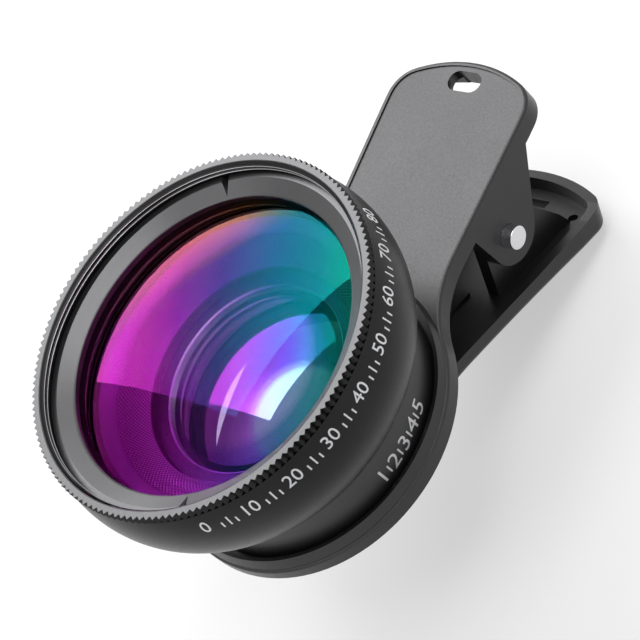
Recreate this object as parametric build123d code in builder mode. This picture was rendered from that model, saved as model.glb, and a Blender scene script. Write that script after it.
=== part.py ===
from build123d import *
import math
import os

# Wide-angle and close-up lens for a phone, carried by a spring clip. Millimetres.
# The optical axis is +Z through the origin, the phone's back lies at z = 0 and the
# handles reach towards +Y. The jaws are closed.

# Wide barrel, from its filter thread outwards and inwards
filter_thread_r = 24.5
rim_w = 1.5
mouth_chamfer = 0.4
wide_len = 15.3
flange_t = 1.3
knurl_depth = 0.5
knurl_teeth = 160
knurl_overlap = 0.1
knurl_relief = 0.25
belly_swell = 0.63
belly_depth = 6.46
belly_arc_r = 13.54
front_ring_depth = 3.1
front_ring_t = 1.0
front_ring_step = 0.5
front_ring_chamfer = 0.3
slot_w = 0.9
slot_depth = 0.6
slot_len = 1.6
slot_angle = 114

# Front element
front_glass_step = 0.8
front_ring_cover = 1.9
front_glass_edge = 3.9
front_surface_r = 75.0
front_hollow_surface_r = 44.0
front_hollow_rim = 2.6
seal_t = 0.6
seal_w = 1.5

# Inner cone of the wide lens
cavity_step = 1.7
wide_floor_t = 2.5
baffle_t = 0.9
baffle_top_gap = 0.1
baffle_lip_h = 1.3
baffle_low_t = 0.4
baffle_foot = 1.6
baffle_low_step = 0.1

# Close-up barrel, from its outside inwards
macro_r = 20.0
macro_len = 11.4
macro_base_round = 0.6
macro_joint_depth = 3.1
macro_wall = 3.0
macro_inner_wall = 5.1
macro_neck_step = 5.0
macro_neck_gap = 0.2
macro_ring_w = 2.1
macro_ring_t = 1.2
macro_glass_step = 0.65
macro_glass_edge = 1.9
macro_surface_r = 60.0
macro_seat_w = 1.65
macro_seat_height = 3.0

# Rear neck, ring and element of the wide lens, inside the close-up barrel's wall
wide_neck_len = 2.8
wide_neck_wall = 1.3
rear_ring_w = 2.1
rear_ring_t = 1.2
rear_ring_chamfer = 0.2
rear_glass_step = 1.35
rear_glass_edge = 1.2
rear_front_surface_r = 45.0
rear_back_surface_r = 120.0
rear_seat_w = 1.15
rear_seat_t = 1.4

# Fits
seat_gap = 0.05
thread_gap = 0.08
pin_press_gap = 0.02
pin_run_gap = 0.06
ear_side_gap = 0.3

# Upper clip arm: ring round the close-up barrel's foot, then neck and handle
lip_gap = 0.9
lip_w = 1.0
lip_top_w = 0.5
lip_height = 3.9
lip_root_w = 1.0
ring_ledge = 0.3
ring_floor_t = 1.6
upper_pad_proud = 0.8
upper_pad_t = 1.4
upper_pad_outer_gap = 0.4
upper_pad_inner_gap = 1.3
upper_pad_round = 0.25
arm_t = 2.4
arm_rise_deg = 0.95
neck_half_w = 11.7
neck_len = 4.8
neck_fillet = 16.0
handle_half_w = 12.3
handle_shoulder_reach = 24.8
handle_reach = 33.3
handle_tip_arc = 22.0
handle_corner_r = 5.0
arm_wall = 1.6
arm_skin = 0.9
hollow_setback = 1.6
panel_rim = 0.75
panel_depth = 0.2
top_edge_round = 0.45
lanyard_len = 5.7
lanyard_w = 3.1
lanyard_inset = 3.1

# Hinge
hinge_reach = 12.4
pin_drop = 5.5
pin_r = 1.68
pin_half_len = 13.7
pin_dome = 0.15
ear_in_x = 9.7
ear_r = 4.6
ear_offset = 0.8
ear_drop = 6.1
ear_top_span = (-4.1, 11.5)
lug_t = 1.9
lug_r = 2.9
lug_tail = ((8.75, -1.9), (12.95, -6.3))
lug_tail_end = 14.7

# Lower clip arm, in its own plane through the pin: along the arm, and above it
lower_slope_deg = 24.7
lower_base_h = -11.1
lower_floor_t = 2.3
lower_rim = ((-10.0, -8.5), (2.0, -8.3), (14.0, -7.6), (17.5, -7.0), (26.0, -6.2))
lower_half_w = 13.3
lower_waist_half_w = 12.8
lower_side_u = (12.0, -6.0, -24.0)
lower_tip_u = 21.6
lower_tip_arc = 25.0
lower_corner_r = 3.5
lower_wall = 1.5
tray_drop = 0.2
lower_edge_round = 1.1
jaw_half_w = 13.0
jaw_setback = 3.6
jaw_t = 3.0
bend_round = 6.0
bend_round_under = 45.0
lower_pad_proud = 1.5
lower_pad_t = 2.0
lower_pad_inset = 2.2
lower_pad_round = 0.4
lower_pad_len = 22.0
floor_slot_w = 7.0
floor_slot_len = 1.6
floor_slot_u = 17.1
dimple_r = 0.75
dimple_depth = 0.9
dimple_at = (9.3, 15.5)
rib_x = 4.5
rib_w = 1.0
rib_h = 0.9
rib_u = (-20.0, -4.0)

# Torsion spring
wire_r = 0.55
coil_r = 3.3
coil_turns = 5
coil_pitch = 1.45
spring_gap = 0.05
upper_leg_reach = 13.4
lower_leg_u = 13.0

# Worked out: radii of the wide barrel and the glass in it
flange_r = filter_thread_r + rim_w
rim_core_r = (flange_r - knurl_depth + filter_thread_r + mouth_chamfer) / 2
belly_r = flange_r + belly_swell
front_ring_r = filter_thread_r - front_ring_step
front_glass_r = front_ring_r - front_glass_step
front_ring_inner_r = front_glass_r - front_ring_cover
front_hollow_r = front_glass_r - front_hollow_rim
cavity_r = front_glass_r - cavity_step

# Worked out: radii of the close-up barrel and the wide lens's neck in it
wide_neck_r = macro_r - macro_wall
rear_ring_r = wide_neck_r - wide_neck_wall
rear_ring_inner_r = rear_ring_r - rear_ring_w
rear_glass_r = rear_ring_r - rear_glass_step
rear_seat_r = rear_glass_r - rear_seat_w
baffle_low_r = rear_ring_r - baffle_low_step
macro_ring_r = macro_r - macro_inner_wall
macro_ring_inner_r = macro_ring_r - macro_ring_w
macro_glass_r = macro_ring_r - macro_glass_step
macro_seat_r = macro_glass_r - macro_seat_w
macro_neck_r = macro_r - macro_neck_step

# Worked out: radii of the clip's ring, and what lies along the clip from it
lip_inner_r = macro_r + lip_gap
lip_outer_r = lip_inner_r + lip_w
lip_top_r = lip_inner_r + lip_top_w
ring_r = lip_outer_r + ring_ledge
upper_pad_outer_r = lip_inner_r - upper_pad_outer_gap
upper_pad_inner_r = macro_neck_r + upper_pad_inner_gap
neck_y = ring_r + neck_len
handle_shoulder_y = ring_r + handle_shoulder_reach
handle_tip_y = ring_r + handle_reach
handle_hollow_y = ring_r + hollow_setback
lanyard_y = handle_tip_y - lanyard_inset
pin_y = ring_r + hinge_reach
jaw_tip_y = jaw_setback - ring_r
lower_pad_end_y = jaw_tip_y + lower_pad_len

# Worked out: heights
arm_base = upper_pad_proud
ring_floor = arm_base + ring_floor_t
lip_top = arm_base + lip_height
wide_back = ring_floor + macro_len
wide_front = wide_back + wide_len
flange_low = wide_front - flange_t
shoulder_z = flange_low - knurl_relief
belly_z = wide_front - belly_depth
pin_z = arm_base - pin_drop
front_ring_top = wide_front - front_ring_depth
front_ring_bottom = front_ring_top - front_ring_t
wide_floor = wide_back + wide_floor_t
jaw_top = -lower_pad_proud
lower_floor_h = lower_base_h + lower_floor_t
slope_sin = math.sin(math.radians(lower_slope_deg))
slope_cos = math.cos(math.radians(lower_slope_deg))
arm_top = Plane.XY.offset(arm_base + arm_t).rotated((arm_rise_deg, 0, 0))
lower_plane = Plane((0, pin_y, pin_z), x_dir=(1, 0, 0), z_dir=(0, slope_sin, slope_cos))
arm_reach = handle_tip_y + ring_r


def sag(surface_r, r):
    """Height lost by a spherical surface between its vertex and radius r."""
    return surface_r - math.sqrt(surface_r**2 - r**2)


def lower_point(u, h):
    """Y and Z of a point u along the lower arm and h above the pin, square to the arm."""
    return (pin_y + u * slope_cos + h * slope_sin, pin_z - u * slope_sin + h * slope_cos)


def lower_line_at_z(h, z):
    """Point of the arm's line of height h that lies at height z."""
    return lower_point((pin_z + h * slope_cos - z) / slope_sin, h)


def handle_outline(inset=0.0):
    """Handle and neck of the upper arm, from the optical axis to the rounded tip."""
    half_tip = handle_half_w - inset
    half_neck = neck_half_w - inset
    tip_y = handle_tip_y - inset
    arc_y = tip_y - sag(handle_tip_arc, half_tip)
    with BuildSketch() as outline:
        with BuildLine():
            ThreePointArc((-half_tip, arc_y), (0, tip_y), (half_tip, arc_y))
            Polyline(
                (half_tip, arc_y),
                (half_tip, handle_shoulder_y),
                (half_neck, neck_y),
                (half_neck, 0),
                (-half_neck, 0),
                (-half_neck, neck_y),
                (-half_tip, handle_shoulder_y),
                (-half_tip, arc_y),
            )
        make_face()
        fillet(outline.vertices().group_by(Axis.Y)[-1], handle_corner_r - inset)
    return outline.sketch


def handle_inside(inset):
    """The same outline pulled in, and cut off at the neck."""
    with BuildSketch() as inside:
        add(handle_outline(inset))
        Rectangle(4 * ring_r, 2 * handle_hollow_y, mode=Mode.SUBTRACT)
    return inside.sketch


def lower_outline(inset=0.0):
    """Sides and tip of the lower arm in its own plane, running on past the jaw."""
    half_tip = lower_half_w - inset
    half_jaw = jaw_half_w - inset
    tip_u = lower_tip_u - inset
    arc_u = tip_u - sag(lower_tip_arc - inset, half_tip)
    corner_u, waist_u, jaw_u = lower_side_u
    right = ((half_tip, corner_u), (lower_waist_half_w - inset, waist_u), (half_jaw, jaw_u))
    left = [(-x, u) for x, u in right]
    with BuildSketch(lower_plane) as outline:
        with BuildLine():
            ThreePointArc((-half_tip, arc_u), (0, tip_u), (half_tip, arc_u))
            Line((half_tip, arc_u), right[0])
            ThreePointArc(*right)
            Polyline(right[-1], (half_jaw, -arm_reach), (-half_jaw, -arm_reach), left[-1])
            ThreePointArc(*reversed(left))
            Line(left[0], (-half_tip, arc_u))
        make_face()
        corners = outline.vertices().sort_by(Axis.Y)
        fillet(corners[-2:], lower_corner_r - inset)
    return outline.sketch


def jaw_outline(inset, end_y):
    """Plan of the jaw's round end, pulled in and cut off straight at the given y."""
    centre_y = jaw_tip_y + jaw_half_w
    with BuildSketch() as outline:
        with Locations((0, centre_y)):
            Circle(jaw_half_w - inset)
        with Locations((0, (centre_y + end_y) / 2)):
            Rectangle(2 * (jaw_half_w - inset), end_y - centre_y)
    return outline.sketch


# Wide barrel: a bell with a knurled front flange, a thread for filters and a threaded neck
shoulder_r = belly_r - sag(belly_arc_r, shoulder_z - belly_z)
back_r = belly_r - sag(belly_arc_r, belly_z - wide_back)
glass_z = front_ring_bottom - front_glass_edge - sag(front_surface_r, front_glass_r) + sag(
    front_surface_r, front_ring_inner_r
)
seal_z = glass_z - seal_t
rear_seat_z = wide_back - wide_neck_len + rear_seat_t
rear_glass_z = rear_seat_z + sag(rear_back_surface_r, rear_glass_r) - sag(
    rear_back_surface_r, rear_seat_r
)
rear_ring_z = rear_glass_z + rear_glass_edge + sag(rear_front_surface_r, rear_glass_r) - sag(
    rear_front_surface_r, rear_ring_inner_r
)

with BuildPart() as wide_barrel:
    with BuildSketch(Plane.XZ):
        with BuildLine():
            Polyline(
                (filter_thread_r + mouth_chamfer, wide_front),
                (rim_core_r, wide_front),
                (rim_core_r, shoulder_z),
                (shoulder_r, shoulder_z),
            )
            ThreePointArc((shoulder_r, shoulder_z), (belly_r, belly_z), (back_r, wide_back))
            Polyline(
                (back_r, wide_back),
                (wide_neck_r, wide_back),
                (wide_neck_r, wide_back - wide_neck_len),
                (rear_seat_r, wide_back - wide_neck_len),
                (rear_seat_r, rear_seat_z),
                (rear_glass_r + seat_gap, rear_seat_z),
                (rear_glass_r + seat_gap, rear_ring_z),
                (rear_ring_r, rear_ring_z),
                (rear_ring_r, wide_floor),
                (cavity_r, wide_floor),
                (cavity_r, seal_z),
                (front_glass_r + seat_gap, seal_z),
                (front_glass_r + seat_gap, front_ring_bottom),
                (front_ring_r, front_ring_bottom),
                (front_ring_r, front_ring_top),
                (filter_thread_r, front_ring_top),
                (filter_thread_r, wide_front - mouth_chamfer),
                (filter_thread_r + mouth_chamfer, wide_front),
            )
        make_face()
    revolve(axis=Axis.Z)
    with BuildSketch(Plane.XY.offset(flange_low)):
        with BuildLine():
            points = []
            for tooth in range(knurl_teeth):
                angle = math.tau * tooth / knurl_teeth
                half = math.pi / knurl_teeth
                for r, a in ((flange_r - knurl_depth, angle - half), (flange_r, angle)):
                    points.append((r * math.cos(a), r * math.sin(a)))
            Polyline(*points, close=True)
        make_face()
        Circle(rim_core_r - knurl_overlap, mode=Mode.SUBTRACT)
    extrude(amount=flange_t)
wide_barrel.part.label = "wide_barrel"

# Front retaining ring with its two spanner slots
with BuildPart() as front_retaining_ring:
    with BuildSketch(Plane.XY.offset(front_ring_bottom)):
        Circle(front_ring_r - thread_gap)
        Circle(front_ring_inner_r, mode=Mode.SUBTRACT)
    extrude(amount=front_ring_t)
    inner_edges = front_retaining_ring.edges().filter_by(GeomType.CIRCLE).group_by(Axis.Z)[-1]
    chamfer(inner_edges.sort_by(SortBy.RADIUS)[0], front_ring_chamfer)
    with BuildSketch(Plane.XY.offset(front_ring_top)):
        with PolarLocations(front_ring_r - slot_len / 2, 2, start_angle=slot_angle):
            Rectangle(slot_len, slot_w)
    extrude(amount=-slot_depth, mode=Mode.SUBTRACT)
front_retaining_ring.part.label = "front_retaining_ring"

# Front element: convex outside, hollow behind
glass_vertex = front_ring_bottom + sag(front_surface_r, front_ring_inner_r)
with BuildPart() as front_element:
    with BuildSketch(Plane.XZ):
        half_r = front_glass_r / 2
        hollow_top = glass_z + sag(front_hollow_surface_r, front_hollow_r)
        with BuildLine():
            ThreePointArc(
                (0, glass_vertex),
                (half_r, glass_vertex - sag(front_surface_r, half_r)),
                (front_glass_r, glass_z + front_glass_edge),
            )
            Polyline(
                (front_glass_r, glass_z + front_glass_edge),
                (front_glass_r, glass_z),
                (front_hollow_r, glass_z),
            )
            ThreePointArc(
                (front_hollow_r, glass_z),
                (half_r, hollow_top - sag(front_hollow_surface_r, half_r)),
                (0, hollow_top),
            )
            Line((0, hollow_top), (0, glass_vertex))
        make_face()
    revolve(axis=Axis.Z)
front_element.part.label = "front_element"

# Seal ring between the front element and its ledge
with BuildPart() as front_seal_ring:
    with BuildSketch(Plane.XY.offset(seal_z)):
        Circle(front_glass_r)
        Circle(front_glass_r - seal_w, mode=Mode.SUBTRACT)
    extrude(amount=seal_t)
front_seal_ring.part.label = "front_seal_ring"

# Baffle: a thin cone that stands on the barrel's floor
baffle_top_r = cavity_r - seat_gap
baffle_top = glass_z - baffle_top_gap
with BuildPart() as baffle:
    with BuildSketch(Plane.XZ):
        with BuildLine():
            Polyline(
                (baffle_top_r - baffle_t, baffle_top),
                (baffle_low_r, wide_floor + baffle_low_t),
                (baffle_low_r, wide_floor),
                (baffle_low_r + baffle_foot, wide_floor),
                (baffle_top_r, baffle_top - baffle_lip_h),
                (baffle_top_r, baffle_top),
                close=True,
            )
        make_face()
    revolve(axis=Axis.Z)
baffle.part.label = "baffle"

# Rear retaining ring of the wide lens
with BuildPart() as rear_retaining_ring:
    with BuildSketch(Plane.XY.offset(rear_ring_z)):
        Circle(rear_ring_r - thread_gap)
        Circle(rear_ring_inner_r, mode=Mode.SUBTRACT)
    extrude(amount=rear_ring_t)
    rear_ring_edges = rear_retaining_ring.edges().filter_by(GeomType.CIRCLE).group_by(Axis.Z)[-1]
    chamfer(rear_ring_edges.sort_by(SortBy.RADIUS)[0], rear_ring_chamfer)
rear_retaining_ring.part.label = "rear_retaining_ring"

# Rear element of the wide lens
rear_edge_top = rear_glass_z + rear_glass_edge
rear_vertex_top = rear_edge_top + sag(rear_front_surface_r, rear_glass_r)
rear_vertex_low = rear_glass_z - sag(rear_back_surface_r, rear_glass_r)
with BuildPart() as rear_element:
    with BuildSketch(Plane.XZ):
        half_r = rear_glass_r / 2
        with BuildLine():
            ThreePointArc(
                (0, rear_vertex_top),
                (half_r, rear_vertex_top - sag(rear_front_surface_r, half_r)),
                (rear_glass_r, rear_edge_top),
            )
            Line((rear_glass_r, rear_edge_top), (rear_glass_r, rear_glass_z))
            ThreePointArc(
                (rear_glass_r, rear_glass_z),
                (half_r, rear_vertex_low + sag(rear_back_surface_r, half_r)),
                (0, rear_vertex_low),
            )
            Line((0, rear_vertex_low), (0, rear_vertex_top))
        make_face()
    revolve(axis=Axis.Z)
rear_element.part.label = "rear_element"

# Close-up barrel: carries the wide lens in front and screws into the clip's ring
macro_neck_z = macro_neck_gap
macro_seat_z = ring_floor + macro_seat_height
macro_glass_z = macro_seat_z + sag(macro_surface_r, macro_glass_r) - sag(
    macro_surface_r, macro_seat_r
)
macro_edge_top = macro_glass_z + macro_glass_edge
macro_ring_z = macro_edge_top + sag(macro_surface_r, macro_glass_r) - sag(
    macro_surface_r, macro_ring_inner_r
)
joint_z = wide_back - macro_joint_depth
with BuildPart() as macro_barrel:
    with BuildSketch(Plane.XZ):
        with BuildLine():
            Polyline(
                (macro_neck_r, macro_neck_z),
                (macro_neck_r, ring_floor),
                (macro_r, ring_floor),
                (macro_r, wide_back),
                (wide_neck_r + thread_gap, wide_back),
                (wide_neck_r + thread_gap, joint_z),
                (macro_ring_r, joint_z),
                (macro_ring_r, macro_ring_z),
                (macro_glass_r + seat_gap, macro_ring_z),
                (macro_glass_r + seat_gap, macro_seat_z),
                (macro_seat_r, macro_seat_z),
                (macro_seat_r, macro_neck_z),
                close=True,
            )
        make_face()
    revolve(axis=Axis.Z)
    outer_edges = macro_barrel.edges().filter_by(GeomType.CIRCLE).sort_by(SortBy.RADIUS)[-2:]
    fillet(outer_edges.sort_by(Axis.Z)[0], macro_base_round)
macro_barrel.part.label = "macro_barrel"

# Close-up element, convex on both sides
macro_vertex_top = macro_edge_top + sag(macro_surface_r, macro_glass_r)
macro_vertex_low = macro_glass_z - sag(macro_surface_r, macro_glass_r)
with BuildPart() as macro_element:
    with BuildSketch(Plane.XZ):
        half_r = macro_glass_r / 2
        with BuildLine():
            ThreePointArc(
                (0, macro_vertex_top),
                (half_r, macro_vertex_top - sag(macro_surface_r, half_r)),
                (macro_glass_r, macro_edge_top),
            )
            Line((macro_glass_r, macro_edge_top), (macro_glass_r, macro_glass_z))
            ThreePointArc(
                (macro_glass_r, macro_glass_z),
                (half_r, macro_vertex_low + sag(macro_surface_r, half_r)),
                (0, macro_vertex_low),
            )
            Line((0, macro_vertex_low), (0, macro_vertex_top))
        make_face()
    revolve(axis=Axis.Z)
macro_element.part.label = "macro_element"

# Retaining ring of the close-up element
with BuildPart() as macro_retaining_ring:
    with BuildSketch(Plane.XY.offset(macro_ring_z)):
        Circle(macro_ring_r - thread_gap)
        Circle(macro_ring_inner_r, mode=Mode.SUBTRACT)
    extrude(amount=macro_ring_t)
    with BuildSketch(Plane.XY.offset(macro_ring_z + macro_ring_t)):
        with PolarLocations(macro_ring_r - slot_len / 2, 2):
            Rectangle(slot_len, slot_w)
    extrude(amount=-slot_depth, mode=Mode.SUBTRACT)
macro_retaining_ring.part.label = "macro_retaining_ring"

# Upper clip arm: ears first, then the ring, neck and handle
with BuildPart() as upper_arm:
    with BuildSketch(Plane.YZ):
        with Locations((pin_y + ear_offset, arm_base - ear_drop)):
            Circle(ear_r)
        with Locations((pin_y + sum(ear_top_span) / 2, arm_base + arm_t / 2)):
            Rectangle(ear_top_span[1] - ear_top_span[0], arm_t)
        make_hull()
    extrude(amount=2 * handle_half_w, both=True)
    with BuildSketch(Plane.XY.offset(arm_base - ear_drop - 2 * ear_r)):
        add(handle_outline())
    extrude(amount=4 * ear_r + ear_drop, mode=Mode.INTERSECT)
    with BuildSketch(Plane.YZ):
        with Locations((pin_y, pin_z)):
            Rectangle(8 * ear_r, 8 * ear_r)
    extrude(amount=ear_in_x, both=True, mode=Mode.SUBTRACT)
    with BuildSketch(Plane.XY.offset(arm_base)) as arm_plan:
        add(handle_outline())
        Circle(ring_r)
        on_ring = [v for v in arm_plan.vertices() if abs(math.hypot(v.X, v.Y) - ring_r) < seat_gap]
        fillet([v for v in on_ring if v.Y > ring_r / 2], neck_fillet)
    extrude(amount=2 * arm_t)
    split(bisect_by=arm_top, keep=Keep.BOTTOM)
    top_face = upper_arm.faces().sort_by(Axis.Z)[-1]
    fillet(top_face.outer_wire().edges(), top_edge_round)
    with BuildSketch(Plane.XZ):
        with BuildLine():
            Polyline(
                (lip_inner_r - lip_root_w, arm_base),
                (lip_outer_r, arm_base),
                (lip_outer_r, arm_base + arm_t),
                (lip_top_r, lip_top),
                (lip_inner_r - lip_root_w, lip_top),
                close=True,
            )
        make_face()
    revolve(axis=Axis.Z)
    with BuildSketch(Plane.XY.offset(ring_floor)):
        Circle(lip_inner_r)
    extrude(amount=lip_height, mode=Mode.SUBTRACT)
    with BuildSketch(Plane.XY.offset(arm_base)):
        Circle(macro_neck_r + thread_gap)
    extrude(amount=ring_floor_t, mode=Mode.SUBTRACT)
    with BuildSketch(Plane.XY.offset(arm_base)):
        Circle(upper_pad_outer_r + seat_gap)
        Circle(upper_pad_inner_r - seat_gap, mode=Mode.SUBTRACT)
    extrude(amount=upper_pad_t - upper_pad_proud, mode=Mode.SUBTRACT)
    with BuildSketch(Plane.XY.offset(arm_base)):
        add(handle_inside(arm_wall))
    extrude(amount=arm_t - arm_skin, mode=Mode.SUBTRACT)
    with BuildSketch(arm_top.offset(-panel_depth)):
        add(handle_inside(panel_rim))
    extrude(amount=1, mode=Mode.SUBTRACT)
    with BuildSketch(Plane.XY.offset(arm_base)):
        with Locations((0, lanyard_y)):
            SlotOverall(lanyard_len, lanyard_w)
    extrude(amount=2 * arm_t, mode=Mode.SUBTRACT)
    with BuildSketch(Plane.YZ):
        with Locations((pin_y, pin_z)):
            Circle(pin_r + pin_press_gap)
    extrude(amount=2 * handle_half_w, both=True, mode=Mode.SUBTRACT)
upper_arm.part.label = "upper_arm"

# Rubber pads: a ring round the phone's camera, and a round-ended pad on the jaw
with BuildPart() as upper_pad:
    with BuildSketch():
        Circle(upper_pad_outer_r)
        Circle(upper_pad_inner_r, mode=Mode.SUBTRACT)
    extrude(amount=upper_pad_t)
    fillet(upper_pad.edges().group_by(Axis.Z)[0], upper_pad_round)
upper_pad.part.label = "upper_pad"

with BuildPart() as lower_pad:
    with BuildSketch(Plane.XY.offset(jaw_top + lower_pad_proud - lower_pad_t)):
        add(jaw_outline(lower_pad_inset, lower_pad_end_y))
    extrude(amount=lower_pad_t)
    fillet(lower_pad.edges().group_by(Axis.Z)[-1], lower_pad_round)
lower_pad.part.label = "lower_pad"

# Space inside the lower arm's rim, with the stiffening ribs left standing in it
floor_bend = lower_line_at_z(lower_floor_h, jaw_top - tray_drop)
with BuildPart() as tray:
    with BuildSketch(Plane.YZ):
        with BuildLine():
            Polyline(
                floor_bend,
                lower_point(arm_reach, lower_floor_h),
                lower_point(arm_reach, 0),
                (floor_bend[0], 0),
                close=True,
            )
        make_face()
    extrude(amount=2 * jaw_half_w, both=True)
    extrude(lower_outline(lower_wall), amount=arm_reach, both=True, mode=Mode.INTERSECT)
    with BuildSketch(lower_plane.offset(lower_floor_h)):
        with Locations((-rib_x, sum(rib_u) / 2), (rib_x, sum(rib_u) / 2)):
            Rectangle(rib_w, rib_u[1] - rib_u[0])
    extrude(amount=rib_h, mode=Mode.SUBTRACT)

# Lower clip arm: a shallow channel bent up to the jaw, with two lugs round the pin
under_bend = lower_line_at_z(lower_base_h, jaw_top - jaw_t)
top_bend = lower_line_at_z(lower_rim[0][1], jaw_top)
with BuildPart() as lower_arm:
    with BuildSketch(Plane.YZ) as strip:
        with BuildLine():
            Polyline(
                (jaw_tip_y - jaw_t, jaw_top),
                (jaw_tip_y - jaw_t, jaw_top - jaw_t),
                under_bend,
                lower_point(lower_rim[-1][0], lower_base_h),
                *[lower_point(*corner) for corner in reversed(lower_rim)],
                top_bend,
                close=True,
            )
        make_face()
        fillet(strip.vertices().sort_by_distance(under_bend)[0], bend_round_under)
        fillet(strip.vertices().sort_by_distance(top_bend)[0], bend_round)
    extrude(amount=2 * jaw_half_w, both=True)
    extrude(lower_outline(), amount=arm_reach, both=True, mode=Mode.INTERSECT)
    with BuildSketch():
        add(jaw_outline(0, 0))
        with Locations((0, jaw_tip_y + jaw_half_w + arm_reach / 2)):
            Rectangle(4 * jaw_half_w, arm_reach)
    extrude(amount=arm_reach, both=True, mode=Mode.INTERSECT)
    base_face = lower_arm.faces().sort_by_distance((0, *lower_point(0, lower_base_h)))[0]
    fillet(base_face.outer_wire().edges().filter_by(Axis.X, reverse=True), lower_edge_round)
    add(tray.part, mode=Mode.SUBTRACT)
    lug_out_x = ear_in_x - ear_side_gap
    for side in (-1, 1):
        with BuildSketch(Plane.YZ.offset(side * (lug_out_x - lug_t / 2))):
            with BuildLine():
                Polyline(
                    lower_point(-lug_r, lower_floor_h),
                    lower_point(-lug_r, 0),
                    *[lower_point(*corner) for corner in ((0, lug_r), *lug_tail)],
                    lower_point(lug_tail_end, lower_floor_h),
                    close=True,
                )
            make_face()
            with Locations((pin_y, pin_z)):
                Circle(lug_r)
        extrude(amount=lug_t / 2, both=True)
    with BuildSketch(Plane.YZ):
        with Locations((pin_y, pin_z)):
            Circle(pin_r + pin_run_gap)
    extrude(amount=2 * jaw_half_w, both=True, mode=Mode.SUBTRACT)
    with BuildSketch(lower_plane.offset(lower_base_h)):
        with Locations((0, floor_slot_u)):
            Rectangle(floor_slot_w, floor_slot_len)
    extrude(amount=2 * lower_floor_t, mode=Mode.SUBTRACT)
    with BuildSketch(lower_plane.offset(lower_floor_h)):
        with Locations(dimple_at, (-dimple_at[0], dimple_at[1])):
            Circle(dimple_r)
    extrude(amount=-dimple_depth, mode=Mode.SUBTRACT)
    with BuildSketch(Plane.XY.offset(jaw_top)):
        add(jaw_outline(lower_pad_inset - seat_gap, lower_pad_end_y + seat_gap))
    extrude(amount=lower_pad_proud - lower_pad_t, mode=Mode.SUBTRACT)
lower_arm.part.label = "lower_arm"

# Pivot pin with domed ends
with BuildPart() as pivot_pin:
    with BuildSketch(Plane.YZ.offset(-pin_half_len)):
        with Locations((pin_y, pin_z)):
            Circle(pin_r)
    extrude(amount=2 * pin_half_len)
    fillet(pivot_pin.edges().filter_by(GeomType.CIRCLE), pin_dome)
pivot_pin.part.label = "pivot_pin"


def leg_tangent(tip_y, tip_z, side):
    """Angle on the coil, in degrees from +Y, where a leg to the given tip leaves it."""
    reach = math.hypot(tip_y - pin_y, tip_z - pin_z)
    aim = math.degrees(math.atan2(tip_z - pin_z, tip_y - pin_y))
    return aim + side * math.degrees(math.acos(coil_r / reach))


# Torsion spring: coil round the pin, one leg under the upper handle, one on the lower
hollow_ceiling = arm_base + arm_t - arm_skin
upper_tip = (pin_y + upper_leg_reach, hollow_ceiling - wire_r - spring_gap)
lower_tip = lower_point(lower_leg_u, lower_floor_h + wire_r + spring_gap)
start_angle = leg_tangent(*upper_tip, 1)
end_angle = leg_tangent(*lower_tip, -1) + 360
coil_turn_deg = end_angle - start_angle + 360 * coil_turns
coil_len = coil_pitch * coil_turn_deg / 360
start_dir = (0, math.cos(math.radians(start_angle)), math.sin(math.radians(start_angle)))
coil_plane = Plane((coil_len / 2, pin_y, pin_z), x_dir=start_dir, z_dir=(-1, 0, 0))
with BuildLine() as coil:
    Helix(coil_pitch, coil_len, coil_r, lefthand=True)
coil_path = coil_plane.from_local_coords(coil.edge())
upper_leg_len = math.sqrt(math.dist(upper_tip, (pin_y, pin_z)) ** 2 - coil_r**2)
lower_leg_len = math.sqrt(math.dist(lower_tip, (pin_y, pin_z)) ** 2 - coil_r**2)
with BuildPart() as torsion_spring:
    with BuildSketch(coil_path ^ 0):
        Circle(wire_r)
    sweep(path=coil_path, is_frenet=True)
    with BuildSketch(Plane(coil_path @ 0, z_dir=-(coil_path % 0))):
        Circle(wire_r)
    extrude(amount=upper_leg_len)
    with BuildSketch(Plane(coil_path @ 1, z_dir=coil_path % 1)):
        Circle(wire_r)
    extrude(amount=lower_leg_len)
torsion_spring.part.label = "torsion_spring"

for piece in (
    wide_barrel,
    front_retaining_ring,
    front_element,
    front_seal_ring,
    baffle,
    rear_retaining_ring,
    rear_element,
    macro_barrel,
    macro_element,
    macro_retaining_ring,
    upper_arm,
    upper_pad,
    lower_pad,
    lower_arm,
    pivot_pin,
    torsion_spring,
):
    export_step(piece.part, f"parts/{piece.part.label}.step")
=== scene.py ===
import bpy
import math
from mathutils import Matrix, Vector


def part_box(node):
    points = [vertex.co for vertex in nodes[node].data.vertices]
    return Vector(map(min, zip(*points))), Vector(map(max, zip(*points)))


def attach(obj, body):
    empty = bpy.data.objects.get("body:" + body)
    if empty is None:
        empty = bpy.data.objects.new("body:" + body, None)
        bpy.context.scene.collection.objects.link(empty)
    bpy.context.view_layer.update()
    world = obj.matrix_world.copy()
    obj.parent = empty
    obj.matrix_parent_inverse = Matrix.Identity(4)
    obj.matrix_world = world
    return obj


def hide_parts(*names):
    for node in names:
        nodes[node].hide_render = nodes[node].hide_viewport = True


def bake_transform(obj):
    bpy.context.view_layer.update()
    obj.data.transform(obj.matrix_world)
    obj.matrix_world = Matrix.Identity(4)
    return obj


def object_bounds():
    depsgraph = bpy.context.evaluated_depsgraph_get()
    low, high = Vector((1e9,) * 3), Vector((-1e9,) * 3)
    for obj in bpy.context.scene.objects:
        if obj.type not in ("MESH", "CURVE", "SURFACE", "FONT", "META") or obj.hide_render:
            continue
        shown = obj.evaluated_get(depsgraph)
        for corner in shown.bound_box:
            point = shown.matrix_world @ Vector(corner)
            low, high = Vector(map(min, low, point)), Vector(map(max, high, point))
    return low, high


# Wide-angle and close-up lens for a phone on its spring clip. The scene is in metres, in the
# CAD's frame. Sizes of pieces are written in millimetres and multiplied by MM.

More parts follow.
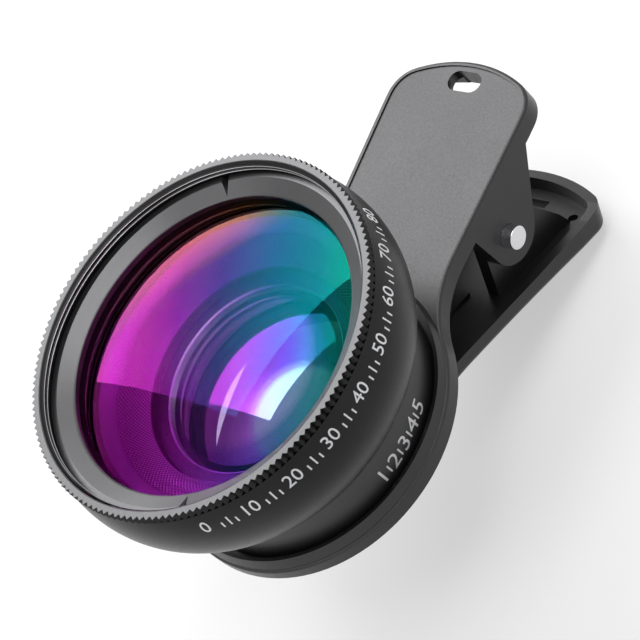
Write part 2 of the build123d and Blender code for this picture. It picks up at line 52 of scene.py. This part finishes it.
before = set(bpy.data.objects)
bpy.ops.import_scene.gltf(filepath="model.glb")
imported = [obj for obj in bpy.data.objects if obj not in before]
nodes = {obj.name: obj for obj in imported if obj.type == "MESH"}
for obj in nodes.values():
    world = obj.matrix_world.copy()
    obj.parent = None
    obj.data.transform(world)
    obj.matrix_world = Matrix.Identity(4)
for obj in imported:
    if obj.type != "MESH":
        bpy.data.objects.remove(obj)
cad_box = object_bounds()

MM = 0.001

# Front rim and the filter thread inside it
FRONT_Z = 29.1
THREAD_R = 24.5
THREAD_H = 0.24
THREAD_PITCH = 0.72
THREAD_LOW = 27.45
THREAD_TURNS = 1.75
THREAD_STEPS = 200
THREAD_ROOT_HALF = 0.26
THREAD_CREST_HALF = 0.05
THREAD_SINK = 0.03
BEAD_R, BEAD_Z, BEAD_SIZE = 24.82, 28.99, 0.07

# Front retaining ring: a flat land, a face that falls in towards the glass, and two notches
RING_LOW = 25.0
LAND_Z = 27.04
FACE_LOW = 26.0
RING_INNER = 21.3
FACE_OUTER = 23.5
RING_OUTER = 24.42
RING_STEP = 23.92
RING_EDGE = 0.12
NOTCHES = (math.radians(114.0), math.radians(294.0))
NOTCH_ROOT = 26.15
NOTCH_SLOPE = 1.7

# Baffle: its cone is turned smooth near the glass and ribbed further in, in a slight swirl
BAFFLE_TOP, BAFFLE_TOP_R = 20.41, 20.55
BAFFLE_LOW, BAFFLE_LOW_R = 16.7, 15.7
BAFFLE_BACK = ((BAFFLE_LOW_R, 16.35), (17.3, 16.35), (21.4, 19.15), (21.4, BAFFLE_TOP))
RIBS = 190
RIB_SAMPLES = 6
RIB_H = 0.16
RIB_START = 0.26
RIB_FADE = 0.05
SWIRL = 0.085

# Elements: the radius of the front face and how far the coating reaches
FRONT_FACE_R, FRONT_RIM = 75.0, 21.2
REAR_FACE_R, REAR_RIM = 45.0, 12.4
COAT_LOW, COAT_TOP = 0.01, 0.04

# Bell barrel's outline and the close-up barrel's radius, for the numbers on them
BELL_ARC_R, BELL_WIDEST_Z, BELL_R = 13.54, 22.64, 26.63
MACRO_R = 20.0

# Two directions across the lens: to its right and to its upper left in the photograph
RIGHT = (0.863, 0.505)
UPPER_LEFT = (-0.766, 0.643)


# Materials

class Shader:
    """A material with one Principled shader, and short calls for the nodes before it."""

    def __init__(self, name, **sockets):
        self.material = bpy.data.materials.new(name)
        self.material.use_nodes = True
        self.tree = self.material.node_tree
        self.shader = self.tree.nodes["Principled BSDF"]
        for socket, value in sockets.items():
            self.shader.inputs[socket.replace("_", " ")].default_value = value

    def node(self, kind, inputs, **properties):
        made = self.tree.nodes.new(kind)
        for key, value in properties.items():
            setattr(made, key, value)
        for key, value in inputs.items():
            if isinstance(value, bpy.types.NodeSocket):
                self.tree.links.new(value, made.inputs[key])
            else:
                made.inputs[key].default_value = value
        return made

    def link(self, socket, value):
        self.tree.links.new(value, self.shader.inputs[socket])

    def place(self):
        return self.node("ShaderNodeTexCoord", {}).outputs["Object"]

    def coordinates(self):
        """The three coordinates of a point, in metres."""
        return self.node("ShaderNodeSeparateXYZ", {"Vector": self.place()}).outputs

    def math(self, operation, a, b=0.0, c=0.0):
        return self.node("ShaderNodeMath", {0: a, 1: b, 2: c}, operation=operation).outputs[0]

    def noise(self, scale, detail=2.0, roughness=0.5):
        inputs = {"Vector": self.place(), "Scale": scale, "Detail": detail, "Roughness": roughness}
        return self.node("ShaderNodeTexNoise", inputs).outputs["Fac"]

    def ramp(self, factor, stops):
        made = self.node("ShaderNodeValToRGB", {"Fac": factor})
        elements = made.color_ramp.elements
        while len(elements) < len(stops):
            elements.new(0.5)
        for element, (position, colour) in zip(elements, stops):
            element.position = position
            element.color = (*colour, 1.0)
        return made.outputs["Color"]

    def span(self, value, low, high, to_low, to_high):
        inputs = {0: value, 1: low, 2: high, 3: to_low, 4: to_high}
        return self.node("ShaderNodeMapRange", inputs).outputs[0]

    def blend(self, factor, low, high):
        """A colour that goes from low to high with the factor; both are sockets or colours."""
        pair = [value if isinstance(value, bpy.types.NodeSocket) else (*value, 1.0) for value in (low, high)]
        return self.node("ShaderNodeMix", {0: factor, 6: pair[0], 7: pair[1]}, data_type="RGBA").outputs[2]

    def radius(self, x=0.0, y=0.0):
        """Distance in the XY plane from a point given in metres."""
        parts = self.coordinates()
        flat = self.node("ShaderNodeCombineXYZ", {"X": parts["X"], "Y": parts["Y"]}).outputs[0]
        centre = self.node("ShaderNodeCombineXYZ", {"X": x, "Y": y}).outputs[0]
        return self.node("ShaderNodeVectorMath", {0: flat, 1: centre}, operation="DISTANCE").outputs["Value"]

    def along(self, direction):
        """Distance from the optical axis along a direction in the XY plane."""
        parts = self.coordinates()
        return self.math(
            "ADD",
            self.math("MULTIPLY", parts["X"], direction[0]),
            self.math("MULTIPLY", parts["Y"], direction[1]),
        )

    def bump(self, height, strength, distance):
        inputs = {"Height": height, "Strength": strength, "Distance": distance}
        self.link("Normal", self.node("ShaderNodeBump", inputs).outputs["Normal"])


def grained(name, dark, light, rough, grain_scale, grain_depth, **sockets):
    """A satin surface: slightly mottled colour, fine grain in the relief and in the gloss."""
    made = Shader(name, **sockets)
    made.colour = made.ramp(made.noise(90.0, detail=3.0), ((0.3, dark), (0.7, light)))
    made.link("Base Color", made.colour)
    grain = made.noise(grain_scale, detail=3.0, roughness=0.6)
    made.link("Roughness", made.span(grain, 0.3, 0.7, rough - 0.05, rough + 0.06))
    made.bump(grain, 0.35, grain_depth)
    return made


def grey(value):
    return (value, value, value * 1.03)


clip_plastic = grained("clip_plastic", grey(0.044), grey(0.050), 0.36, 2600.0, 0.00003, Metallic=0.85)
barrel_black = grained("barrel_black", grey(0.022), grey(0.027), 0.36, 5200.0, 0.00001, Metallic=0.95)
macro_black = grained("macro_black", grey(0.036), grey(0.044), 0.42, 5200.0, 0.00001, Metallic=0.3)
ring_grey = grained("ring_grey", grey(0.074), grey(0.084), 0.32, 4800.0, 0.00001, Metallic=0.9)
ring_black = grained("ring_black", grey(0.03), grey(0.04), 0.4, 4800.0, 0.00001, Metallic=0.6)
rubber = grained("rubber", grey(0.016), grey(0.022), 0.75, 1800.0, 0.00003)
white_paint = grained("white_paint", grey(0.72), grey(0.80), 0.5, 3000.0, 0.00001)
steel = grained("steel", grey(0.62), grey(0.68), 0.22, 1500.0, 0.000005, Metallic=1.0)

# The front face of the knurled rim is painted a lighter grey, like the ring inside it: a painted highlight
# on the face that meets the key light
front_face_highlight = barrel_black.span(
    barrel_black.coordinates()["Z"], (FRONT_Z - 0.07) * MM, (FRONT_Z - 0.03) * MM, 0.0, 1.0
)
barrel_black.link("Base Color", barrel_black.blend(front_face_highlight, barrel_black.colour, grey(0.080)))

# The thread's crests are painted bright, a painted highlight along the ridges, and its flanks are black
thread_edge = grained("thread_edge", grey(0.03), grey(0.03), 0.3, 5200.0, 0.00001, Metallic=0.95)
crest_r = THREAD_R - THREAD_H
crest = thread_edge.span(thread_edge.radius(), (crest_r + 0.03) * MM, (crest_r + 0.07) * MM, 1.0, 0.0)
thread_edge.link("Base Color", thread_edge.blend(crest, thread_edge.colour, grey(0.40)))

# The bevel round the mouth of the ring before the rear element is painted white as a thin line: a painted
# highlight where the bevel catches the light
REAR_RING_W = 1.84
rear_ring = grained("rear_ring", grey(0.10), grey(0.10), 0.3, 4800.0, 0.00001, Metallic=0.8)
bevel_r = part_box("rear_retaining_ring")[1].x - REAR_RING_W * MM
bevel_highlight = rear_ring.span(rear_ring.radius(), bevel_r, bevel_r + 0.04 * MM, 1.0, 0.0)
rear_ring.link("Base Color", rear_ring.blend(bevel_highlight, rear_ring.colour, (0.95, 0.95, 0.95)))

# The baffle's crests are painted pale, a painted sheen on a black part, and its grooves are painted dark,
# painted shade by their depth
baffle_black = grained("baffle_black", grey(0.75), grey(0.75), 0.34, 4200.0, 0.00001, Metallic=0.85)
cone_slope = (BAFFLE_TOP - BAFFLE_LOW) / (BAFFLE_TOP_R - BAFFLE_LOW_R)
cone_foot = (BAFFLE_LOW - cone_slope * BAFFLE_LOW_R) * MM
cone_z = baffle_black.math("MULTIPLY_ADD", baffle_black.radius(), cone_slope, cone_foot)
sunk = baffle_black.math("SUBTRACT", cone_z, baffle_black.coordinates()["Z"])
groove_shade = baffle_black.span(sunk, 0.02 * MM, 0.12 * MM, 0.0, 1.0)
baffle_black.link("Base Color", baffle_black.blend(groove_shade, baffle_black.colour, grey(0.16)))


def tint_across(made, half, colours, upper, start, end):
    """Colours from the left rim to the right one, and others where the lens's upper left begins."""
    share = made.span(made.along(RIGHT), -half, half, 0.0, 1.0)
    colour = made.ramp(share, colours)
    if upper:
        higher = made.span(made.along(UPPER_LEFT), start * half, end * half, 0.0, 1.0)
        colour = made.blend(higher, colour, made.ramp(share, upper))
    return colour


def tinted_glass(name, half, specular, ior, tint, upper=None, centre_tint=None):
    """Clear glass whose tint changes over its face."""
    made = Shader(name, Roughness=0.0, IOR=ior, Transmission_Weight=1.0,
                  Specular_Tint=(specular, specular, specular, 1.0))
    colour = tint_across(made, half, tint, upper, -0.25, 0.35)
    if centre_tint:
        outside = made.span(made.radius(0.0070, -0.0025), 0.0100, 0.0116, 0.0, 1.0)
        colour = made.blend(outside, centre_tint, colour)
    made.link("Base Color", colour)
    return made


def coating(name, half, cover, colours, upper=None):
    """A thin anti-reflection layer: a coloured mirror that covers a share of the light."""
    made = Shader(name, Roughness=0.0, Metallic=1.0, Alpha=cover)
    made.link("Base Color", tint_across(made, half, colours, upper, 0.45, 0.80))
    return made


# The front glass has a low index, since a clear reflection of its own would veil the coating
front_glass = tinted_glass("front_glass", 0.021, 0.2, 1.1, (
    (0.00, (0.30, 0.07, 0.32)),
    (0.15, (0.20, 0.06, 0.28)),
    (0.37, (1.00, 0.28, 1.00)),
    (0.55, (0.42, 0.18, 0.90)),
    (0.75, (0.06, 0.25, 0.40)),
    (1.00, (0.05, 0.45, 0.20)),
), (
    (0.00, (0.30, 0.03, 0.32)),
    (0.30, (0.42, 0.03, 0.40)),
    (0.55, (0.22, 0.06, 0.50)),
    (0.75, (0.04, 0.25, 0.42)),
    (1.00, (0.03, 0.42, 0.25)),
), (0.88, 0.84, 1.00))
rear_glass = tinted_glass("rear_glass", 0.012, 0.5, 1.3, (
    (0.20, (0.95, 0.85, 0.95)),
    (0.80, (0.80, 0.95, 0.95)),
))
macro_glass = tinted_glass("macro_glass", 0.012, 0.5, 1.3, (
    (0.00, (0.90, 0.88, 1.00)),
    (1.00, (0.88, 1.00, 0.94)),
))
front_coat = coating("front_coat", 0.021, 0.058, (
    (0.00, (1.00, 0.02, 0.62)),
    (0.15, (0.72, 0.00, 0.60)),
    (0.27, (0.46, 0.00, 0.36)),
    (0.42, (0.12, 0.00, 0.26)),
    (0.58, (0.01, 0.05, 0.24)),
    (0.75, (0.00, 0.20, 0.36)),
    (0.89, (0.00, 0.36, 0.42)),
    (1.00, (0.00, 0.62, 0.42)),
), (
    (0.10, (1.00, 0.10, 0.55)),
    (0.40, (0.95, 0.14, 0.28)),
    (0.62, (0.80, 0.30, 0.10)),
    (0.80, (0.10, 0.45, 0.20)),
    (1.00, (0.00, 0.60, 0.42)),
))
rear_coat = coating("rear_coat", 0.012, 0.24, (
    (0.15, (1.00, 0.85, 0.92)),
    (0.50, (0.62, 0.62, 1.00)),
    (0.85, (0.40, 0.95, 0.90)),
))

finish = {
    "wide_barrel": barrel_black,
    "front_retaining_ring": ring_grey,
    "front_element": front_glass,
    "front_seal_ring": rubber,
    "baffle": baffle_black,
    "rear_retaining_ring": rear_ring,
    "rear_element": rear_glass,
    "macro_barrel": macro_black,
    "macro_element": macro_glass,
    "macro_retaining_ring": ring_black,
    "upper_arm": clip_plastic,
    "upper_pad": rubber,
    "lower_pad": rubber,
    "lower_arm": clip_plastic,
    "pivot_pin": steel,
    "torsion_spring": steel,
}
for name, shader in finish.items():
    mesh = nodes[name].data
    mesh.materials.clear()
    mesh.materials.append(shader.material)

# Spring: the torsion spring's mesh is copied into an object of its own, which stands in its place
spring_mesh = nodes["torsion_spring"].data.copy()
spring = bpy.data.objects.new("spring_wire", spring_mesh)
bpy.context.collection.objects.link(spring)
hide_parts("torsion_spring")
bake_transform(spring)


# Pieces made as meshes

def mesh_piece(name, points, faces, body, shader, replaced=None, sharp=0.6):
    """A smooth-shaded mesh object that rides on a body and takes the given material."""
    mesh = bpy.data.meshes.new(name)
    mesh.from_pydata([tuple(value * MM for value in point) for point in points], [], faces)
    mesh.validate()
    mesh.shade_smooth()
    mesh.set_sharp_from_angle(angle=sharp)
    mesh.materials.append(shader.material)
    piece = bpy.data.objects.new(name, mesh)
    bpy.context.collection.objects.link(piece)
    if replaced:
        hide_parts(replaced)
    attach(piece, body)


def circle(count):
    return [math.tau * i / count for i in range(count)]


def turned(angles, section):
    """Points and faces of a closed section carried round the axis.

    section(angle) gives the section's (radius, height) points, the same number each time.
    """
    points = [
        (r * math.cos(a), r * math.sin(a), z) for a in angles for r, z in section(a)
    ]
    size = len(section(angles[0]))
    faces = []
    for i in range(len(angles)):
        for j in range(size):
            here, there = i * size, (i + 1) % len(angles) * size
            k = (j + 1) % size
            faces.append((here + j, there + j, there + k, here + k))
    return points, faces


def ring_section(angle):
    """The retaining ring's section, cut down where it meets a V notch."""
    foot = RING_INNER + RING_EDGE
    face = []
    for step in range(13):
        share = step / 12
        face.append((foot + share * (FACE_OUTER - foot), FACE_LOW + share * (LAND_Z - FACE_LOW)))
    for step in range(1, 5):
        face.append((FACE_OUTER + step / 4 * (RING_OUTER - FACE_OUTER), LAND_Z))
    cut = []
    for r, z in face:
        for notch in NOTCHES:
            if math.cos(angle - notch) > 0:
                off = abs(r * math.sin(angle - notch))
                z = min(z, max(NOTCH_ROOT + NOTCH_SLOPE * off, FACE_LOW))
        cut.append((r, z))
    step_z = FACE_LOW + 0.02
    return [(RING_INNER, RING_LOW), (RING_INNER, FACE_LOW - RING_EDGE), *cut,
            (RING_OUTER, step_z), (RING_STEP, step_z), (RING_STEP, RING_LOW)]


# The ring's angles lie closer together at the notches
ring_angles = set(circle(360))
for notch in NOTCHES:
    ring_angles |= {notch + math.radians(0.08 * i) for i in range(-20, 21)}
ring_points, ring_faces = turned(sorted(ring_angles), ring_section)
mesh_piece("retaining_ring", ring_points, ring_faces, "wide_lens", ring_grey,
           replaced="front_retaining_ring", sharp=0.35)


def helix():
    """The filter thread: a ridge with a flat crest that fades in and out at its two ends."""
    points, faces = [], []
    count = int(THREAD_TURNS * THREAD_STEPS)
    root = THREAD_R + THREAD_SINK
    for i in range(count + 1):
        angle = math.tau * i / THREAD_STEPS
        z = THREAD_LOW + THREAD_PITCH * i / THREAD_STEPS
        fade = min(1.0, i / 12, (count - i) / 12)
        crest = THREAD_R - THREAD_H * max(fade, 0.05)
        for r, offset in ((root, -THREAD_ROOT_HALF), (crest, -THREAD_CREST_HALF),
                          (crest, THREAD_CREST_HALF), (root, THREAD_ROOT_HALF)):
            points.append((r * math.cos(angle), r * math.sin(angle), z + offset))
    for i in range(count):
        for j in range(4):
            k = (j + 1) % 4
            faces.append((i * 4 + j, i * 4 + k, i * 4 + 4 + k, i * 4 + 4 + j))
    faces += [(3, 2, 1, 0), tuple(count * 4 + j for j in range(4))]
    return points, faces


thread_points, thread_faces = helix()
mesh_piece("filter_thread", thread_points, thread_faces, "wide_lens", thread_edge)
bead = [(BEAD_R + BEAD_SIZE * math.cos(a), BEAD_Z + BEAD_SIZE * math.sin(a)) for a in circle(8)]
bead_points, bead_faces = turned(circle(240), lambda angle: bead)
mesh_piece("mouth_bead", bead_points, bead_faces, "wide_lens", barrel_black)


def baffle_section(angle):
    cone = []
    for step in range(25):
        share = step / 24
        r = BAFFLE_TOP_R + share * (BAFFLE_LOW_R - BAFFLE_TOP_R)
        z = BAFFLE_TOP + share * (BAFFLE_LOW - BAFFLE_TOP)
        fade = min(1.0, max(0.0, (share - RIB_START) / RIB_FADE))
        wave = 0.5 + 0.5 * math.cos(RIBS * (angle + SWIRL * (r - BAFFLE_TOP_R)))
        cone.append((r, z + RIB_H * fade * (wave - 1.0)))
    return cone + list(BAFFLE_BACK)


baffle_points, baffle_faces = turned(circle(RIBS * RIB_SAMPLES), baffle_section)
mesh_piece("ribbed_baffle", baffle_points, baffle_faces, "wide_lens", baffle_black,
           replaced="baffle")


def cap(name, node, face_r, rim_r, shader):
    """A thin coating that lies on the domed front face of an element."""
    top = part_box(node)[1].z / MM
    rings = [rim_r * i / 24 for i in range(1, 25)]

    def height(r):
        return top - (face_r - math.sqrt(face_r ** 2 - r ** 2))

    line = [(r, height(r) + COAT_TOP) for r in rings]
    line += [(r, height(r) + COAT_LOW) for r in reversed(rings)]
    angles = circle(120)
    size = len(line)
    points = [(r * math.cos(a), r * math.sin(a), z) for a in angles for r, z in line]
    faces = []
    for i in range(len(angles)):
        here, there = i * size, (i + 1) % len(angles) * size
        for j in range(size - 1):
            faces.append((here + j, there + j, there + j + 1, here + j + 1))
    faces.append(tuple(i * size for i in reversed(range(len(angles)))))
    faces.append(tuple(i * size + size - 1 for i in range(len(angles))))
    mesh_piece(name, points, faces, "wide_lens", shader)


cap("front_coating", "front_element", FRONT_FACE_R, FRONT_RIM, front_coat)
cap("rear_coating", "rear_element", REAR_FACE_R, REAR_RIM, rear_coat)


# Plain numbers and ticks round the two barrels
PAINT_HALF = 0.02
PAINT_LIFT = 0.015


def bell_radius(z):
    return BELL_R - BELL_ARC_R + math.sqrt(BELL_ARC_R ** 2 - (z - BELL_WIDEST_Z) ** 2)


def macro_radius(z):
    return MACRO_R


def digits(text, size):
    """Points (mm, z out of the page) and faces of a number in Blender's own font."""
    curve = bpy.data.curves.new("digits", "FONT")
    curve.body = text
    curve.size = size
    curve.align_x, curve.align_y = "CENTER", "CENTER"
    curve.extrude = PAINT_HALF
    curve.resolution_u = 3
    holder = bpy.data.objects.new("digits", curve)
    bpy.context.collection.objects.link(holder)
    bpy.context.view_layer.update()
    mesh = holder.evaluated_get(bpy.context.evaluated_depsgraph_get()).to_mesh()
    points = [tuple(v.co) for v in mesh.vertices]
    faces = [tuple(p.vertices) for p in mesh.polygons]
    bpy.data.objects.remove(holder)
    bpy.data.curves.remove(curve)
    return points, faces


def tick(width, height):
    w, h = width / 2, height / 2
    corners = ((-w, -h), (w, -h), (w, h), (-w, h))
    points = [(x, y, z) for z in (-PAINT_HALF, PAINT_HALF) for x, y in corners]
    faces = [(3, 2, 1, 0), (4, 5, 6, 7)] + [(i, (i + 1) % 4, (i + 1) % 4 + 4, i + 4) for i in range(4)]
    return points, faces


def marking(name, body, glyphs, radius, mean_z):
    """One piece of glyphs laid on a surface of revolution; each glyph is (angle, height, shape)."""
    points, faces = [], []
    for angle, z0, (shape, sides) in glyphs:
        first = len(points)
        for x, y, out in shape:
            z = z0 + y
            r = radius(z) + PAINT_LIFT + out
            a = math.radians(angle) + x / radius(mean_z)
            points.append((r * math.cos(a), r * math.sin(a), z))
        faces += [tuple(first + i for i in side) for side in sides]
    mesh_piece(name, points, faces, body, white_paint)


WIDE_START, WIDE_STEP, WIDE_Z = -60.0, 14.4, 25.35
WIDE_TICK_LOW = 24.45
wide_glyphs = []
for i in range(9):
    angle = WIDE_START + WIDE_STEP * i
    wide_glyphs.append((angle, WIDE_Z, digits(str(10 * i), 2.7)))
    if i < 8:
        for part, length in ((1, 0.9), (2, 1.5), (3, 0.9)):
            wide_glyphs.append((angle + 2.7 + 2.25 * part, WIDE_TICK_LOW + length / 2, tick(0.22, length)))
marking("wide_numbers", "wide_lens", wide_glyphs, bell_radius, 25.3)

MACRO_START, MACRO_STEP, MACRO_Z = -16.0, 7.4, 6.15
macro_glyphs = [(MACRO_START + MACRO_STEP * i, MACRO_Z, digits(str(i + 1), 3.6)) for i in range(5)]
macro_glyphs += [(MACRO_START + MACRO_STEP * (i + 0.5), MACRO_Z, tick(0.25, 1.5)) for i in range(4)]
marking("macro_numbers", "macro_lens", macro_glyphs, macro_radius, 6.0)


# Floor and background

def seen_rays(tree):
    """1 for rays from the camera, from a gloss or through glass, and 0 for the others."""
    path = tree.nodes.new("ShaderNodeLightPath").outputs
    total = path["Is Camera Ray"]
    for kind in ("Is Glossy Ray", "Is Transmission Ray"):
        larger = tree.nodes.new("ShaderNodeMath")
        larger.operation = "MAXIMUM"
        tree.links.new(total, larger.inputs[0])
        tree.links.new(path[kind], larger.inputs[1])
        total = larger.outputs[0]
    return total


floor_z = cad_box[0].z
bpy.ops.mesh.primitive_plane_add(size=6.0, location=(0, 0, floor_z))
floor = bpy.context.object
floor.name = "floor"
# Where it is seen, the floor is half white of its own, and the other half keeps a soft shadow
paper = Shader("floor_white", Roughness=0.9, Specular_IOR_Level=0.1, Emission_Color=(1, 1, 1, 1))
seen = seen_rays(paper.tree)
paper.link("Base Color", paper.span(seen, 0.0, 1.0, 0.86, 0.43))
paper.link("Emission Strength", paper.span(seen, 0.0, 1.0, 0.0, 0.5))
floor.data.materials.append(paper.material)

# The world lights the object softly and is white where it is seen
WORLD_LIGHT = 0.3
world = bpy.data.worlds.new("studio")
world.use_nodes = True
bpy.context.scene.world = world
tree = world.node_tree
background = tree.nodes["Background"]
background.inputs["Color"].default_value = (1.0, 1.0, 1.0, 1.0)
level = tree.nodes.new("ShaderNodeMapRange")
level.inputs[3].default_value = WORLD_LIGHT
level.inputs[4].default_value = 1.0
tree.links.new(seen_rays(tree), level.inputs[0])
tree.links.new(level.outputs[0], background.inputs["Strength"])

# Camera at the photograph's angle
camera_data = bpy.data.cameras.new("camera")
camera_data.lens = 140.6
camera_data.sensor_width = 36.0
camera_data.clip_start = 0.01
camera = bpy.data.objects.new("camera", camera_data)
bpy.context.collection.objects.link(camera)
right = Vector((0.730, 0.427, -0.534)).normalized()
back = Vector((0.659, -0.232, 0.715)).normalized()
up = back.cross(right).normalized()
right = up.cross(back)
aim = Matrix((right, up, back)).transposed().to_4x4()
camera.matrix_world = Matrix.Translation((0.2199, -0.0655, 0.2476)) @ aim
bpy.context.scene.camera = camera


def soft_light(name, corner, along, across, radiance):
    """A rectangular light from one corner and two sides, of the given radiance, facing the lens."""
    corner, along, across = Vector(corner), Vector(along), Vector(across)
    width, height = along.length, across.length
    x_axis, y_axis = along.normalized(), across.normalized()
    y_axis = (y_axis - x_axis * y_axis.dot(x_axis)).normalized()
    z_axis = x_axis.cross(y_axis)
    centre = corner + along / 2 + across / 2
    if z_axis.dot(centre) < 0:
        x_axis, z_axis = -x_axis, -z_axis
    data = bpy.data.lights.new(name, "AREA")
    data.shape = "RECTANGLE"
    data.size, data.size_y = width, height
    data.energy = radiance * math.pi * width * height
    lamp = bpy.data.objects.new(name, data)
    lamp.matrix_world = Matrix.Translation(centre) @ Matrix((x_axis, y_axis, z_axis)).transposed().to_4x4()
    bpy.context.collection.objects.link(lamp)


# The key's mirror image is the bright field in the front element
soft_light("key", (-0.276, -0.012, 0.588), (-0.39, 0.033, -0.368), (0.105, 0.42, -0.038), 5.0)
# One light over the lens, and a low one beyond it for the far side of the ring
soft_light("top", (-0.06, -0.20, 0.60), (0.30, 0.0, 0.0), (0.0, 0.60, 0.0), 3.9)
soft_light("fill", (-0.42, -0.56, 0.56), (0.42, 0.0, 0.0), (0.0, 0.30, 0.06), 1.5)

view = bpy.context.scene.view_settings
view.view_transform = "Standard"
